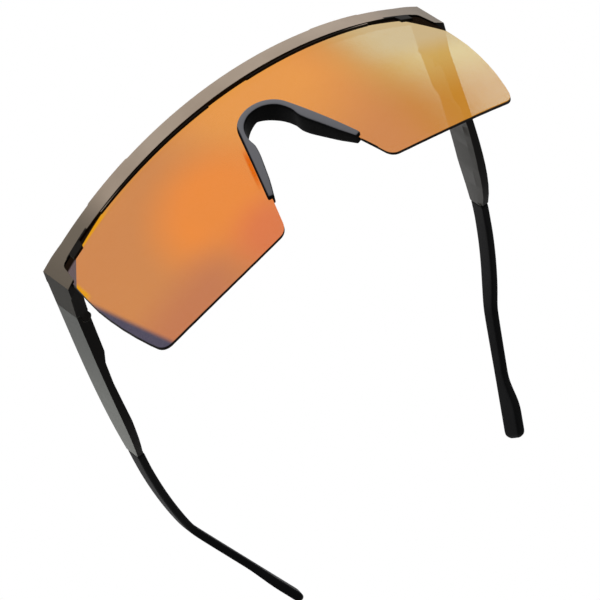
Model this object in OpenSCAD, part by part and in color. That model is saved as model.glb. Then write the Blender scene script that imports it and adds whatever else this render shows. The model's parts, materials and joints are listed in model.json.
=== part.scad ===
// Half-rim cycling sunglasses: a one-piece shield lens hangs in a groove under a bowed brow,
// with a rubber nose piece on its cut-out and two folding temples with rubber ear tips.
// Pieces are drawn as worn (X to the wearer's left, Y to the back, Z up, origin midway between
// the brow's two upper corners) and then laid down to stand on the lens and the temple tips.

/* [Brow] */
// Width of the front across its outer corners
front_width = 140; // [134:1:146]
// How far the middle of the brow stands ahead of its corners
brow_bow = 22.6; // [21:0.2:24]
// Slope of the brow's top and underside, down towards the middle
brow_slope = 5; // [3:0.5:6]
// Depth of the brow's underside below its corners
brow_height = 6.1; // [5.7:0.1:6.8]
// How far the top of the brow lies below its corners
brow_dip = 0.45; // [0.2:0.05:0.7]
// Wall behind the lens groove
brow_back_wall = 1.2; // [1:0.1:1.6]
// Distance from the middle at which the top of the brow steps up
crown_start = 34; // [30:1:38]
// Distance from the middle at which it steps down again
crown_end = 50; // [46:1:54]
// Height of that step
crown_rise = 0.3; // [0.1:0.05:0.4]
// Height of the bead that runs along the lens under the brow
bead_height = 0.4; // [0.3:0.05:0.8]
// Thickness of the bead and the tabs in front of the lens
bead_width = 0.9; // [0.7:0.05:1.1]
// Half length of the finger gap in the middle of the bead
bead_gap_half = 6.5; // [4:0.5:10]
// Depth of the hook at each end of the brow, from the brow's top
hook_drop = 13.3; // [12.6:0.1:14]
// Width of the hook where it leaves the brow
hook_root_width = 3.9; // [3.5:0.1:4.3]
// Width of the hook's tip
hook_tip_width = 2.7; // [2.5:0.1:3.1]
// Radius of the inner corner between brow and hook
hook_corner_radius = 1.5; // [1:0.1:2]
// Width of the tab that keeps each end of the lens in its groove
tab_width = 4.5; // [3:0.5:6]
// How far that tab hangs below the brow
tab_drop = 2.5; // [1.5:0.1:3]
// Distance from the brow's corner to the middle of the tab
tab_inset = 9.3; // [8.5:0.1:12]

/* [Lens] */
// How much larger the radius of the lens's front is than the radius of the brow
lens_flattening = 4.3; // [3:0.1:5.5]
// Level below the brow's corners at which the lens stands upright
lens_upright_drop = 7; // [5:0.5:9]
// How far the lens's front lies behind the brow's front, in the middle
lens_setback = 1.8; // [1.6:0.1:2.2]
// Thickness of the lens
lens_thickness = 1.2; // [1:0.1:1.6]
// Lean of the direction in which the lens is cut to its outline
lens_lean = 10; // [8:0.5:12]
// How far the lens reaches up into the brow's groove
lens_grip = 2.8; // [2.2:0.1:3.4]
// Distance from the brow's corner to the lens's upper corner, inside the brow
lens_shoulder_inset = 4.4; // [4.2:0.1:5]
// Distance from the brow's corner to the lens's widest point
lens_side_inset = 1.3; // [1.2:0.1:1.7]
// Depth of the lens's widest point below the brow's top
lens_waist_drop = 26; // [22:1:30]
// How far the lens's side edge bows outwards below its widest point
lens_side_bow = 1; // [0.6:0.1:1.4]
// Depth of the lens's outer lower corner below the brow's top
lens_outer_drop = 51.7; // [48:0.1:54]
// Distance of that corner from the brow's corner
lens_outer_inset = 5.7; // [4.5:0.1:7]
// Depth of the lens's inner lower corner below the brow's top
lens_inner_drop = 55.6; // [54:0.1:59]
// How far the lens's lower edge bows below the line between its corners
lens_lower_bow = 1.6; // [0.6:0.1:2]
// Radius of the outer lower corner
lens_outer_radius = 4.6; // [3:0.2:5]
// Radius of the inner lower corner
lens_inner_radius = 3.5; // [2.5:0.2:4.5]

/* [Nose piece] */
// Outer radius of the nose piece's arch
nose_radius = 9.2; // [8.5:0.1:10]
// Depth of the arch's centre below the brow's top
nose_centre_drop = 24.5; // [23:0.1:26]
// Angle of the nose piece's legs from the vertical
nose_splay = 19.5; // [17:0.5:21]
// Length of each straight leg
nose_leg = 24.5; // [22:0.5:27]
// Overlap of the nose piece on the lens
nose_grip = 1.3; // [1:0.1:1.5]
// Thickness of the arch across its rim
nose_bridge_width = 2.4; // [2.1:0.1:2.7]
// Thickness of each pad at its fullest
nose_pad_width = 3.4; // [3:0.1:4]
// Thickness of each pad at its lower end
nose_end_width = 2.1; // [1.9:0.1:2.5]
// Height of the rim in front of the lens
nose_lip = 1; // [0.8:0.1:1.3]
// Depth of the arch behind the lens's front
nose_bridge_depth = 4.4; // [4:0.1:5.4]
// Depth of the pads at their fullest
nose_pad_depth = 6.6; // [5.8:0.1:7.4]
// Depth of the pads' lower ends
nose_end_depth = 2.6; // [2.4:0.1:3.2]

/* [Temples] */
// Distance from the brow's corners back to the hinge seam
seam_back = 12.4; // [11.6:0.2:13.2]
// Height of the temple at the hinge seam
arm_height = 10.8; // [10.4:0.1:11.4]
// Thickness of the temple at the hinge seam
arm_root_width = 4.1; // [4:0.1:4.6]
// Length of the thick stretch at the hinge
arm_root_length = 16; // [14:0.5:20]
// Length of the slope behind it, down to the waist
arm_slope_length = 4; // [2:0.5:8]
// Thickness of the temple behind the hinge stretch
arm_waist_width = 2.7; // [2.5:0.1:3]
// Thickness of the temple where it swells again
arm_swell_width = 3.3; // [3.1:0.1:3.6]
// Distance of that swelling from the arm's rear end
arm_swell_back = 15; // [12:0.5:18]
// Length of the temple arm behind the hinge seam
arm_length = 60.7; // [57:0.5:64]
// Height of the arm's rear end
arm_end_height = 6; // [5.6:0.1:6.6]
// Thickness of the arm's rear end
arm_end_width = 2.5; // [2.3:0.1:2.8]
// How far the arm's outer face has come in at its rear end
arm_end_inset = 2.2; // [1.6:0.1:2.6]
// Height of the bevel along the arm's inner lower edge
arm_bevel_height = 2.4; // [1.6:0.2:3]
// Width of that bevel
arm_bevel_width = 0.5; // [0.3:0.05:0.7]

/* [Temple tips] */
// Reach of the rubber tip behind the arm
tip_reach = 70; // [64:0.2:72]
// How far the tip's end lies inside the arm's end
tip_inward = 23.6; // [20:0.1:26]
// How far the tip's end lies below the arm's end
tip_drop = 16; // [12:0.2:18]
// Distance from the arm's end back to the tip's bend
tip_bend_back = 39.8; // [36:0.2:43]
// How far the bend lies inside the arm's end
tip_bend_inward = 7.1; // [5.5:0.1:8.5]
// How far the tip lies inside the arm's end half-way to the bend
tip_half_inward = 2.4; // [2:0.1:2.8]
// How far the bend lies above the middle of the arm's end
tip_bend_rise = 2.9; // [1.5:0.1:4]
// How far the bend is rounded
tip_bend_round = 2.2; // [1.6:0.1:4]
// Thickness of the tip
tip_width = 2.5; // [2.4:0.05:3]
// Height of the tip in front of its bend
tip_height = 6.1; // [5.6:0.1:6.6]
// Height of the tip at its neck
tip_neck = 4.5; // [4:0.1:5]
// Height of the flat paddle at the end of the tip
tip_paddle = 7.4; // [6.4:0.1:8]
// Thickness of that paddle
tip_paddle_width = 2.9; // [2.6:0.1:3.3]
// Radius of the tip's long edges
tip_corner = 0.8; // [0.6:0.1:1.1]
// Length of the tip's rounded end
tip_nose = 2; // [1.4:0.1:2.6]
// Radius of the wire core
core_radius = 0.7; // [0.6:0.05:0.75]
// Depth of the wire core in the arm
core_socket = 12; // [8:0.5:16]

/* [Hinges] */
// Distance from the brow's outer side to the hinge axis
hinge_inset = 2.9; // [2.8:0.05:3]
// Radius of the hinge knuckles
knuckle_radius = 1.6; // [1.5:0.05:1.65]
// Height of each of the brow's two knuckles
lug_height = 3.3; // [3:0.1:3.5]
// Radius of the hinge screw's shank
screw_radius = 0.6; // [0.5:0.05:0.65]
// Radius of the hinge screw's head
screw_head_radius = 1.05; // [0.95:0.05:1.15]
// Height of the hinge screw's head
screw_head_height = 0.9; // [0.7:0.1:1.1]
// Width of the cross slot in the screw's head
screw_slot = 0.24; // [0.2:0.02:0.3]
// Outer radius of the brass insert
insert_radius = 1; // [0.95:0.05:1.1]
// Height of the brass insert
insert_height = 2.2; // [1.8:0.1:2.5]

/* [Clearances] */
// Gap between the lens and what holds it
lens_clearance = 0.08; // [0.05:0.01:0.12]
// Gap of the hinge's turning fits, on the radius
hinge_clearance = 0.05; // [0.03:0.01:0.08]
// Gap of fixed fits, on the radius
seat_clearance = 0.02; // [0.01:0.01:0.04]
// Gap between the brow and the temple at the seam, and beside the knuckles
seam_clearance = 0.15; // [0.1:0.01:0.25]

/* [Hidden] */

$fn = 64;
big_fn = 240;
reach = 200;
bronze = [0.52, 0.47, 0.41];
graphite = [0.36, 0.37, 0.35];
rubber = [0.09, 0.09, 0.1];
orange = [0.93, 0.53, 0.18, 0.85];
steel = [0.62, 0.63, 0.65];
brass = [0.78, 0.62, 0.3];

// Brow: its front face is an upright cylinder through both outer corners
half_width = front_width / 2;
brow_radius = (pow(half_width, 2) + pow(brow_bow, 2)) / (2 * brow_bow);
brow_axis_y = brow_radius - brow_bow;
hook_inner_x = half_width - hook_root_width;
end_front_y = 1;
end_inner_x = half_width - arm_root_width;
corner_flat = 4;
corner_slope = 4;
hook_tip_rise = 0.3;
keeper_root = -brow_height + 0.5;
bead_slope = 0.6;
tab_slope = 0.8;

// Lens: part of a sphere; its outline is drawn in a view that leans by lens_lean
lens_radius = brow_radius + lens_flattening;
lens_centre_y = lens_setback - brow_bow + lens_radius;
lens_back_radius = lens_radius - lens_thickness;
brow_back_radius = lens_back_radius - lens_clearance - brow_back_wall;
lens_centre = leaned([0, lens_centre_y, -lens_upright_drop]);
lens_top = -brow_height + lens_grip;
lens_shoulder = [half_width - lens_shoulder_inset, 0];
lens_shoulder_bow = 0.6;
lens_waist = [half_width - lens_side_inset, -lens_waist_drop];
lens_outer_corner = [half_width - lens_outer_inset, -lens_outer_drop];

// The nose arch and the lens's cut-out share one centre and one leg angle
nose_centre = [0, -nose_centre_drop];
leg_out = [cos(nose_splay), sin(nose_splay)];
leg_down = [sin(nose_splay), -cos(nose_splay)];
notch_radius = nose_radius - nose_grip;
notch_leg = (lens_inner_drop - nose_centre_drop + notch_radius * leg_out.y) / cos(nose_splay);
notch_foot = nose_centre + notch_radius * leg_out;
lens_inner_corner = notch_foot + notch_leg * leg_down;
lens_side_edge = bowed(lens_waist, lens_outer_corner, lens_side_bow, 5);
lens_lower_edge = bowed(lens_outer_corner, lens_inner_corner, lens_lower_bow, 8);
corner_steps = 8;
outer_corner_arc = corner(
    lens_side_edge[3], lens_outer_corner, lens_lower_edge[0], lens_outer_radius, corner_steps
);
inner_corner_arc = corner(
    lens_lower_edge[6], lens_inner_corner, notch_foot, lens_inner_radius, corner_steps
);

// Stations along the rim of one half of the nose piece, from its crown
nose_arc_length = nose_radius * (90 - nose_splay) * PI / 180;
nose_length = nose_arc_length + nose_leg;
nose_arc_steps = 10;
nose_leg_steps = 16;
nose_edge = 0.15;
nose_full = 0.45;
nose_stations = concat(
    [for (i = [0:nose_arc_steps - 1]) nose_arc_length * i / nose_arc_steps],
    [for (i = [0:nose_leg_steps]) nose_arc_length + nose_leg * i / nose_leg_steps]
);

// Temples
seam_y = seam_back;
arm_front_y = seam_y + seam_clearance;
arm_end_y = seam_y + arm_length;
arm_end_x = half_width - arm_end_inset - arm_end_width / 2;
root_end_y = seam_y + arm_root_length;
waist_y = root_end_y + arm_slope_length;
swell_y = arm_end_y - arm_swell_back;
rear_steps = 10;
rear_ways = [for (i = [0:rear_steps]) waist_y + (arm_end_y - waist_y) * i / rear_steps];
arm_ways = concat([arm_front_y, root_end_y], rear_ways);
arm_ways_back = [for (i = [len(arm_ways) - 1:-1:0]) arm_ways[i]];
hinge_x = half_width - hinge_inset;
hinge_y = seam_y + knuckle_radius + hinge_clearance + seam_clearance;
lug_gap_top = -lug_height;
lug_gap_bottom = -arm_height + lug_height;
insert_recess = 0.3;
insert_top = lug_gap_bottom - insert_recess;
insert_bottom = insert_top - insert_height;
screw_recess = 0.1;
screw_top = -screw_recess;
screw_end = insert_bottom + 0.07 * insert_height;

// The tip's centre line: a bowed stretch from the arm's end to the bend and a straight one behind it
arm_end = [arm_end_x, arm_end_y, -arm_end_height / 2];
tip_bend = [-tip_bend_inward, tip_bend_back, tip_bend_rise];
tip_half = [tip_bend_inward / 2 - 2 * tip_half_inward, tip_bend_back / 2, tip_bend_rise / 2];
tip_front = [[0, 0, 0], tip_half, tip_bend];
tip_rear = [-tip_inward, tip_reach, -tip_drop] - tip_bend;
tip_steps = 36;
tip_sides = 16;
paddle_start = 0.82;
paddle_full = 0.91;
tip_heights = [
    [0, 0.97 * arm_end_height],
    [0.15, tip_height],
    [0.45, 0.97 * tip_height],
    [0.6, 1.1 * tip_neck],
    [0.8, tip_neck]
];
tip_start = tip_line(0);
socket_way = unit(tip_line(0.02) - tip_start);
core_steps = 24;
core_end = 0.9;
core_ways = [for (i = [0:core_steps]) core_end * i / core_steps];
channel_ways = concat(core_ways, [core_end + 0.005]);

// Pose at rest: the lens's lower edge and both temple tips stand on one plane
lens_feet = [
    for (p = concat(lens_lower_edge, inner_corner_arc), b = [0, lens_depth(p)])
        unleaned([p.x, lens_y(p) + b, p.y])
];
tip_points = [for (r = tip_outside()) each r];
rough_tilt = foot_angle(lens_foot(0), tip_foot(0));
rest_tilt = foot_angle(lens_foot(rough_tilt), tip_foot(rough_tilt));
lift = -rest_height(lens_foot(rest_tilt), rest_tilt);
front_y = min([for (r = nose_rings(), p = r) rest_depth(unleaned(p), rest_tilt)]);
back_y = max([for (p = tip_points) rest_depth(p, rest_tilt)]);
middle_y = (front_y + back_y) / 2;

function rest_height(p, tilt) = p.z * cos(tilt) - p.y * sin(tilt);
function rest_depth(p, tilt) = p.y * cos(tilt) + p.z * sin(tilt);
function lowest(points, tilt) =
    let (heights = [for (p = points) rest_height(p, tilt)], low = min(heights))
    [for (i = [0:len(points) - 1]) if (heights[i] == low) points[i]][0];
function lens_foot(tilt) = lowest(lens_feet, tilt);
function tip_foot(tilt) = lowest(tip_points, tilt);
function foot_angle(a, b) = atan((b.z - a.z) / (b.y - a.y));

// Between the worn frame and the leaning frame of the lens's outline
function leaned(p) =
    [p.x, p.y * cos(lens_lean) + p.z * sin(lens_lean), p.z * cos(lens_lean) - p.y * sin(lens_lean)];
function unleaned(p) =
    [p.x, p.y * cos(lens_lean) - p.z * sin(lens_lean), p.z * cos(lens_lean) + p.y * sin(lens_lean)];

// Place of the lens's front, and its thickness, at a point (x, height) of its outline's view
function ball_y(p, r) = lens_centre.y - sqrt(pow(r, 2) - pow(p.x, 2) - pow(p.y - lens_centre.z, 2));
function lens_y(p) = ball_y(p, lens_radius);
function lens_depth(p) = ball_y(p, lens_back_radius) - lens_y(p);

function unit(v) = v / norm(v);
function arc(centre, r, from, to, steps) =
    [for (i = [0:steps]) let (a = from + (to - from) * i / steps) centre + r * [cos(a), sin(a)]];

// Points between p and q on an arc that bows by sag to the left of the way from p to q
function bowed(p, q, sag, steps) =
    let (d = q - p, side = [-d.y, d.x] / norm(d))
    [for (i = [1:steps - 1]) let (t = i / steps) p + d * t + side * sag * 4 * t * (1 - t)];

// A corner q between p and s, rounded with radius r
function corner(p, q, s, r, steps) =
    let (
        u = unit(p - q),
        v = unit(s - q),
        half = acos(u * v) / 2,
        centre = q + unit(u + v) * r / sin(half),
        first = q + u * r / tan(half) - centre,
        last = q + v * r / tan(half) - centre,
        from = atan2(first.y, first.x),
        turn = atan2(last.y, last.x) - from,
        way = turn > 180 ? turn - 360 : turn < -180 ? turn + 360 : turn
    )
    arc(centre, r, from, from + way, steps);

// The points of a right half and their mirror images
function mirrored(points) =
    concat(points, [for (i = [len(points) - 1:-1:0]) [-points[i].x, points[i].y]]);

// A curve with three control points
function bezier(c, t) = c[0] * pow(1 - t, 2) + 2 * c[1] * t * (1 - t) + c[2] * t * t;

// Rises from 0 to the slope 1 about u = 0, rounded over r
function knee(u, r) = (u + sqrt(u * u + r * r)) / 2;

// Faces of a sweep over rings of n points, from the point with number first
function wall(first, rings, n) =
    [for (i = [0:rings - 2], j = [0:n - 1]) each
        let (a = first + i * n + j, b = first + i * n + (j + 1) % n)
        [[a, b, a + n], [b, b + n, a + n]]];
function lid(first, n) = [for (j = [0:n - 1]) first + j];
function turned(faces) = [for (f = faces) [for (i = [len(f) - 1:-1:0]) f[i]]];

// Solid over rings of points, closed at both ends
module sweep(rings) {
    n = len(rings[0]);
    polyhedron(
        [for (r = rings) each r],
        concat(turned([lid(0, n)]), wall(0, len(rings), n), [lid((len(rings) - 1) * n, n)]),
        convexity = 6
    );
}

// Extrudes a front view (x, height) through the whole depth
module through_front() {
    rotate([90, 0, 0]) linear_extrude(reach, center = true) children();
}

// Extrudes a side view (y, height) through the whole width
module through_side() {
    rotate([90, 0, 90]) linear_extrude(reach, center = true) children();
}

module both_sides() {
    children();
    mirror([1, 0, 0]) children();
}

// Moves worn pieces to their pose at rest
module placed() {
    translate([0, -middle_y, lift]) rotate([-rest_tilt, 0, 0]) children();
}

// Turns a drawing of the leaning view into the worn frame
module leaning() {
    rotate([lens_lean, 0, 0]) children();
}

// The same for the brow's own view, whose top edge is level
module brow_view() {
    rotate([brow_slope, 0, 0]) children();
}

module lens_ball(r) {
    translate([0, lens_centre_y, -lens_upright_drop]) sphere(r = r, $fn = big_fn);
}

// Front view of the lens, wider by g at its sides
module lens_outline(g = 0) {
    grow = [g, 0];
    half = concat(
        [lens_shoulder + grow],
        bowed(lens_shoulder + grow, lens_waist + grow, lens_shoulder_bow, 5),
        [lens_waist + grow],
        lens_side_edge,
        outer_corner_arc,
        lens_lower_edge,
        inner_corner_arc,
        arc(nose_centre, notch_radius, nose_splay, 90, 12)
    );
    polygon(mirrored(half));
}

// The lens, thicker by g on both faces and larger by g at its sides and its upper edge
module lens_shell(g = 0) {
    intersection() {
        difference() {
            lens_ball(lens_radius + g);
            lens_ball(lens_back_radius - g);
        }
        leaning() through_front() lens_outline(g);
        brow_view() translate([-reach, -reach, lens_top + g - 2 * reach]) cube(2 * reach);
    }
}

module lens() {
    color(orange) placed() lens_shell();
}

// Front view of the brow with a hook at each end
module brow_outline() {
    hook_tip_x = half_width - hook_tip_width;
    half = concat(
        [
            [crown_start - crown_rise, -brow_dip],
            [crown_start + crown_rise, crown_rise - brow_dip],
            [crown_end - crown_rise, crown_rise - brow_dip],
            [crown_end + crown_rise, -brow_dip],
            [half_width - corner_flat - corner_slope, -brow_dip],
            [half_width - corner_flat, 0],
            [half_width, 0],
            [half_width, -hook_drop],
            [hook_tip_x, -hook_drop + hook_tip_rise]
        ],
        corner(
            [hook_tip_x, -hook_drop], [hook_inner_x, -brow_height], [0, -brow_height],
            hook_corner_radius, 8
        )
    );
    polygon(mirrored(half));
}

// The brow bar and its hooks, before the lens groove is cut
module brow_bar() {
    difference() {
        intersection() {
            translate([0, brow_axis_y, -reach / 2]) cylinder(r = brow_radius, h = reach, $fn = big_fn);
            brow_view() through_front() brow_outline();
        }
        lens_ball(brow_back_radius);
    }
}

// Part of the brow that lies against the lens's front, with the given front view
module lens_keeper() {
    intersection() {
        difference() {
            lens_ball(lens_radius + lens_clearance + bead_width);
            lens_ball(lens_radius + lens_clearance);
        }
        brow_view() through_front() children();
    }
}

// Bead on each side of the finger gap
module bead() {
    low = -brow_height - bead_height;
    lens_keeper() polygon([
        [bead_gap_half, keeper_root],
        [crown_end, keeper_root],
        [crown_end - bead_slope, low],
        [bead_gap_half + bead_slope, low]
    ]);
}

// Tab near each end of the brow
module tab() {
    middle = half_width - tab_inset;
    low = -brow_height - tab_drop;
    lens_keeper() polygon([
        [middle - tab_width / 2, keeper_root],
        [middle + tab_width / 2, keeper_root],
        [middle + tab_width / 2, low],
        [middle - tab_width / 2 + tab_slope, low]
    ]);
}

// The end piece that carries the hinge, behind the hook
module end_block() {
    intersection() {
        linear_extrude(reach, center = true) polygon([
            [half_width, end_front_y],
            [half_width, seam_y],
            [end_inner_x, seam_y],
            [hook_inner_x, end_front_y]
        ]);
        through_side() polygon([
            [0, 0],
            [seam_y, 0],
            [seam_y, -arm_height],
            [0, -hook_drop]
        ]);
    }
}

// Upright cylinder around the hinge axis, from z = low to z = high
module hinge_bar(r, low, high) {
    translate([hinge_x, hinge_y, low]) cylinder(r = r, h = high - low);
}

// Knuckle on the hinge axis with a web forward into the end piece
module brow_lug(low, high) {
    web = hinge_y - seam_y + 0.5;
    inner_x = end_inner_x + seam_clearance;
    hinge_bar(knuckle_radius, low, high);
    translate([inner_x, hinge_y - web, low])
        cube([hinge_x + knuckle_radius - inner_x, web, high - low]);
}

module brow_frame() {
    color(bronze) placed() difference() {
        union() {
            brow_bar();
            both_sides() {
                bead();
                tab();
                end_block();
                brow_lug(lug_gap_top, 0);
                brow_lug(-arm_height, lug_gap_bottom);
            }
        }
        lens_shell(lens_clearance);
        both_sides() {
            hinge_bar(screw_radius + hinge_clearance, lug_gap_top - 1, 1);
            hinge_bar(screw_head_radius + hinge_clearance, screw_top - screw_head_height - seat_clearance, 1);
            hinge_bar(insert_radius + seat_clearance, insert_bottom - seat_clearance, lug_gap_bottom + 1);
        }
    }
}

// Width across the rim and depth of the nose piece, from its crown (0) to its lower end (1)
function nose_width(t) =
    lookup(t, [
        [0, nose_bridge_width],
        [0.2, 0.96 * nose_bridge_width],
        [0.35, 0.84 * nose_bridge_width],
        [0.42, 0.9 * nose_bridge_width],
        [0.46, 0.82 * nose_pad_width],
        [0.5, 0.95 * nose_pad_width],
        [0.58, nose_pad_width],
        [0.85, 0.84 * nose_pad_width],
        [1, nose_end_width]
    ]);
function nose_depth(t) =
    t < nose_full
        ? nose_bridge_depth + (nose_pad_depth - nose_bridge_depth) * sin(90 * min(1, t / nose_full * 1.5))
        : nose_pad_depth - (nose_pad_depth - nose_end_depth) * pow((t - nose_full) / (1 - nose_full), 1.5);

// Section across the nose piece: inwards from its rim is -u, backwards from the lens's front is v
function nose_section(t, through) =
    let (
        w = nose_width(t),
        groove = -nose_grip - lens_clearance,
        back = through + lens_clearance,
        behind = nose_depth(t) - back
    )
    [
        [-w, -nose_lip + nose_edge],
        [-w + nose_edge, -nose_lip],
        [-nose_edge, -nose_lip],
        [0, -nose_lip + nose_edge],
        [0, -lens_clearance],
        [groove, -lens_clearance],
        [groove, back],
        [-0.1, back],
        [-0.12 * w, back + 0.7 * behind],
        [-0.35 * w, back + 0.95 * behind],
        [-0.85 * w, back + behind],
        [-w, back + 0.9 * behind]
    ];

// The rim at the distance s from its crown, and the ring of points there
function nose_rim(s) =
    s < nose_arc_length
        ? let (a = 90 - s / nose_radius * 180 / PI, out = [cos(a), sin(a)])
            [nose_centre + nose_radius * out, out]
        : [nose_centre + nose_radius * leg_out + (s - nose_arc_length) * leg_down, leg_out];
function nose_ring(s, side) =
    let (rim = nose_rim(s))
    [for (q = nose_section(s / nose_length, lens_depth(rim[0])))
        let (p = rim[0] + q.x * rim[1]) [side * p.x, lens_y(p) + q.y, p.y]];
function nose_rings() = concat(
    [for (i = [len(nose_stations) - 1:-1:1]) nose_ring(nose_stations[i], -1)],
    [for (s = nose_stations) nose_ring(s, 1)]
);

module nose_piece() {
    color(rubber) placed() leaning() sweep(nose_rings());
}

// Lower edge, outer face and thickness of the temple arm at depth y
function arm_share(y) = (y - seam_y) / arm_length;
function arm_low(y) = -arm_height + (arm_height - arm_end_height) * pow(arm_share(y), 6);
function arm_out(y) = half_width - arm_end_inset * pow(arm_share(y), 3);
function arm_in(y) =
    arm_out(y) - lookup(y, [
        [seam_y, arm_root_width],
        [root_end_y, 0.93 * arm_root_width],
        [waist_y, arm_waist_width],
        [swell_y, arm_swell_width],
        [arm_end_y, arm_end_width]
    ]);

// Space of the brow's knuckles, cut out of the arm
module knuckle_room() {
    room = knuckle_radius + seam_clearance;
    hinge_bar(room, -reach / 2, reach / 2);
    translate([hinge_x - reach, seam_y - 1, -reach / 2])
        cube([reach + room, hinge_y - seam_y + 1, reach]);
}

// The arm's own knuckle between the brow's two
module arm_tongue() {
    low = lug_gap_bottom + hinge_clearance;
    high = lug_gap_top - hinge_clearance;
    hinge_bar(knuckle_radius, low, high);
    translate([hinge_x - knuckle_radius, hinge_y, low])
        cube([2 * knuckle_radius, knuckle_radius + 1, high - low]);
}

// Wedge under the arm's inner lower edge, between the depths y and back; it starts inside by start
module arm_bevel(y, back, start) {
    way = [arm_in(back) - arm_in(y) + start, back - y, arm_low(back) - arm_low(y)];
    slope = arm_bevel_width / arm_bevel_height;
    translate([arm_in(y) - start, y, arm_low(y)])
        rotate([asin(way.z / norm(way)), 0, -atan(way.x / way.y)])
            translate([0, norm(way) + 0.2, 0]) rotate([90, 0, 0]) linear_extrude(norm(way) + 0.4) polygon([
                [-1, -1],
                [arm_bevel_width + slope, -1],
                [0, arm_bevel_height],
                [-1, arm_bevel_height]
            ]);
}

module temple_arm() {
    difference() {
        union() {
            difference() {
                intersection() {
                    through_side() polygon(concat(
                        [[arm_front_y, 0], [arm_end_y, 0]],
                        [for (y = arm_ways_back) [y, arm_low(y)]]
                    ));
                    linear_extrude(reach, center = true) polygon(concat(
                        [for (y = arm_ways) [arm_out(y), y]],
                        [for (y = arm_ways_back) [arm_in(y), y]]
                    ));
                }
                knuckle_room();
            }
            arm_tongue();
        }
        hinge_bar(screw_radius + hinge_clearance, -reach / 2, reach / 2);
        for (i = [0:2:rear_steps - 2])
            arm_bevel(rear_ways[i], rear_ways[i + 2], i == 0 ? arm_bevel_width : 0);
        translate(tip_start) rotate([0, acos(-socket_way.z), atan2(-socket_way.y, -socket_way.x)])
            translate([0, 0, -1])
                cylinder(r = core_radius + seat_clearance, h = core_socket + 1 + seat_clearance);
    }
}

module left_temple_arm() {
    color(graphite) placed() temple_arm();
}

module right_temple_arm() {
    color(graphite) placed() mirror([1, 0, 0]) temple_arm();
}

// Point of the tip's centre line at the share t of its reach, and the line's direction there
function tip_line(t) =
    let (behind = knee(t * tip_reach - tip_bend_back, tip_bend_round))
    arm_end + bezier(tip_front, (t * tip_reach - behind) / tip_bend_back)
        + tip_rear * behind / (tip_reach - tip_bend_back);
function tip_way(t) = unit(tip_line(min(t + 0.01, 1)) - tip_line(max(t - 0.01, 0)));

// Frame on that line: its place, outward and upward directions, which lie in the arm's end at t = 0
function tip_frame(t) =
    let (way = t > 0 ? tip_way(t) : [0, 1, 0], out = unit(cross(way, [0, 0, 1])))
    [tip_line(t), out, cross(out, way)];

// Ring of points round a w by h rectangle with corners of radius r, moved by shift
function ring(f, w, h, r, shift = [0, 0, 0]) =
    [for (j = [0:tip_sides - 1])
        let (
            a = 360 * (j + 0.5) / tip_sides,
            x = sign(cos(a)) * (w / 2 - r) + r * cos(a),
            z = sign(sin(a)) * (h / 2 - r) + r * sin(a)
        )
        f[0] + f[1] * x + f[2] * z + shift];

// The paddle swells outwards and downwards from the neck
function paddle(t) = lookup(t, [[paddle_start, 0], [paddle_full, 1]]);
function tip_thickness(t) =
    lookup(t, [[0, 0.97 * arm_end_width], [0.1, tip_width]]) + paddle(t) * (tip_paddle_width - tip_width);
function tip_tall(t) =
    lookup(t, tip_heights) + paddle(t) * (tip_paddle - tip_neck);
function tip_shift(t) =
    let (f = tip_frame(t))
    paddle(t) * (f[1] * (tip_paddle_width - tip_width) - f[2] * (tip_paddle - tip_neck)) / 2;

// Rings of the rubber tip's outside, with a rounded end
function tip_outside() = concat(
    [for (i = [0:tip_steps])
        let (t = i / tip_steps, r = lookup(t, [[0, tip_corner / 2], [0.1, tip_corner]]))
        ring(tip_frame(t), tip_thickness(t), tip_tall(t), r, tip_shift(t))],
    [for (a = [30, 55, 75])
        let (w = tip_thickness(1) * cos(a), h = tip_tall(1) * (0.35 + 0.65 * cos(a)))
        ring(tip_frame(1), w, h, min(tip_corner, w / 2), tip_shift(1) + tip_way(1) * tip_nose * sin(a))]
);
function core_rings(r, ways) = [for (t = ways) ring(tip_frame(t), 2 * r, 2 * r, r)];

// The rubber tip with the blind channel of the wire core
module temple_tip() {
    outer = tip_outside();
    inner = core_rings(core_radius + seat_clearance, channel_ways);
    n = tip_sides;
    channel = len(outer) * n;
    polyhedron(
        concat([for (r = outer) each r], [for (r = inner) each r]),
        concat(
            wall(0, len(outer), n),
            [lid(channel - n, n)],
            turned(wall(channel, len(inner), n)),
            turned([lid(channel + (len(inner) - 1) * n, n)]),
            [for (j = [0:n - 1]) each
                let (k = (j + 1) % n)
                [[k, j, channel + j], [channel + j, channel + k, k]]]
        ),
        convexity = 8
    );
}

module left_temple_tip() {
    color(rubber) placed() temple_tip();
}

module right_temple_tip() {
    color(rubber) placed() mirror([1, 0, 0]) temple_tip();
}

// Wire core: a straight stretch in the arm, then along the tip's centre line
module temple_core() {
    sweep(concat(
        [ring(tip_frame(0), 2 * core_radius, 2 * core_radius, core_radius, -core_socket * socket_way)],
        core_rings(core_radius, core_ways)
    ));
}

module left_temple_core() {
    color(steel) placed() temple_core();
}

module right_temple_core() {
    color(steel) placed() mirror([1, 0, 0]) temple_core();
}

module hinge_screw() {
    slot_length = 1.4;
    slot_depth = 0.45;
    difference() {
        union() {
            hinge_bar(screw_head_radius, screw_top - screw_head_height, screw_top);
            hinge_bar(screw_radius, screw_end, screw_top);
        }
        for (a = [0, 90])
            translate([hinge_x, hinge_y, screw_top]) rotate([0, 0, a])
                cube([slot_length, screw_slot, 2 * slot_depth], center = true);
    }
}

module left_hinge_screw() {
    color(steel) placed() hinge_screw();
}

module right_hinge_screw() {
    color(steel) placed() mirror([1, 0, 0]) hinge_screw();
}

module hinge_insert() {
    difference() {
        hinge_bar(insert_radius, insert_bottom, insert_top);
        hinge_bar(screw_radius + seat_clearance, insert_bottom - 1, insert_top + 1);
    }
}

module left_hinge_insert() {
    color(brass) placed() hinge_insert();
}

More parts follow.
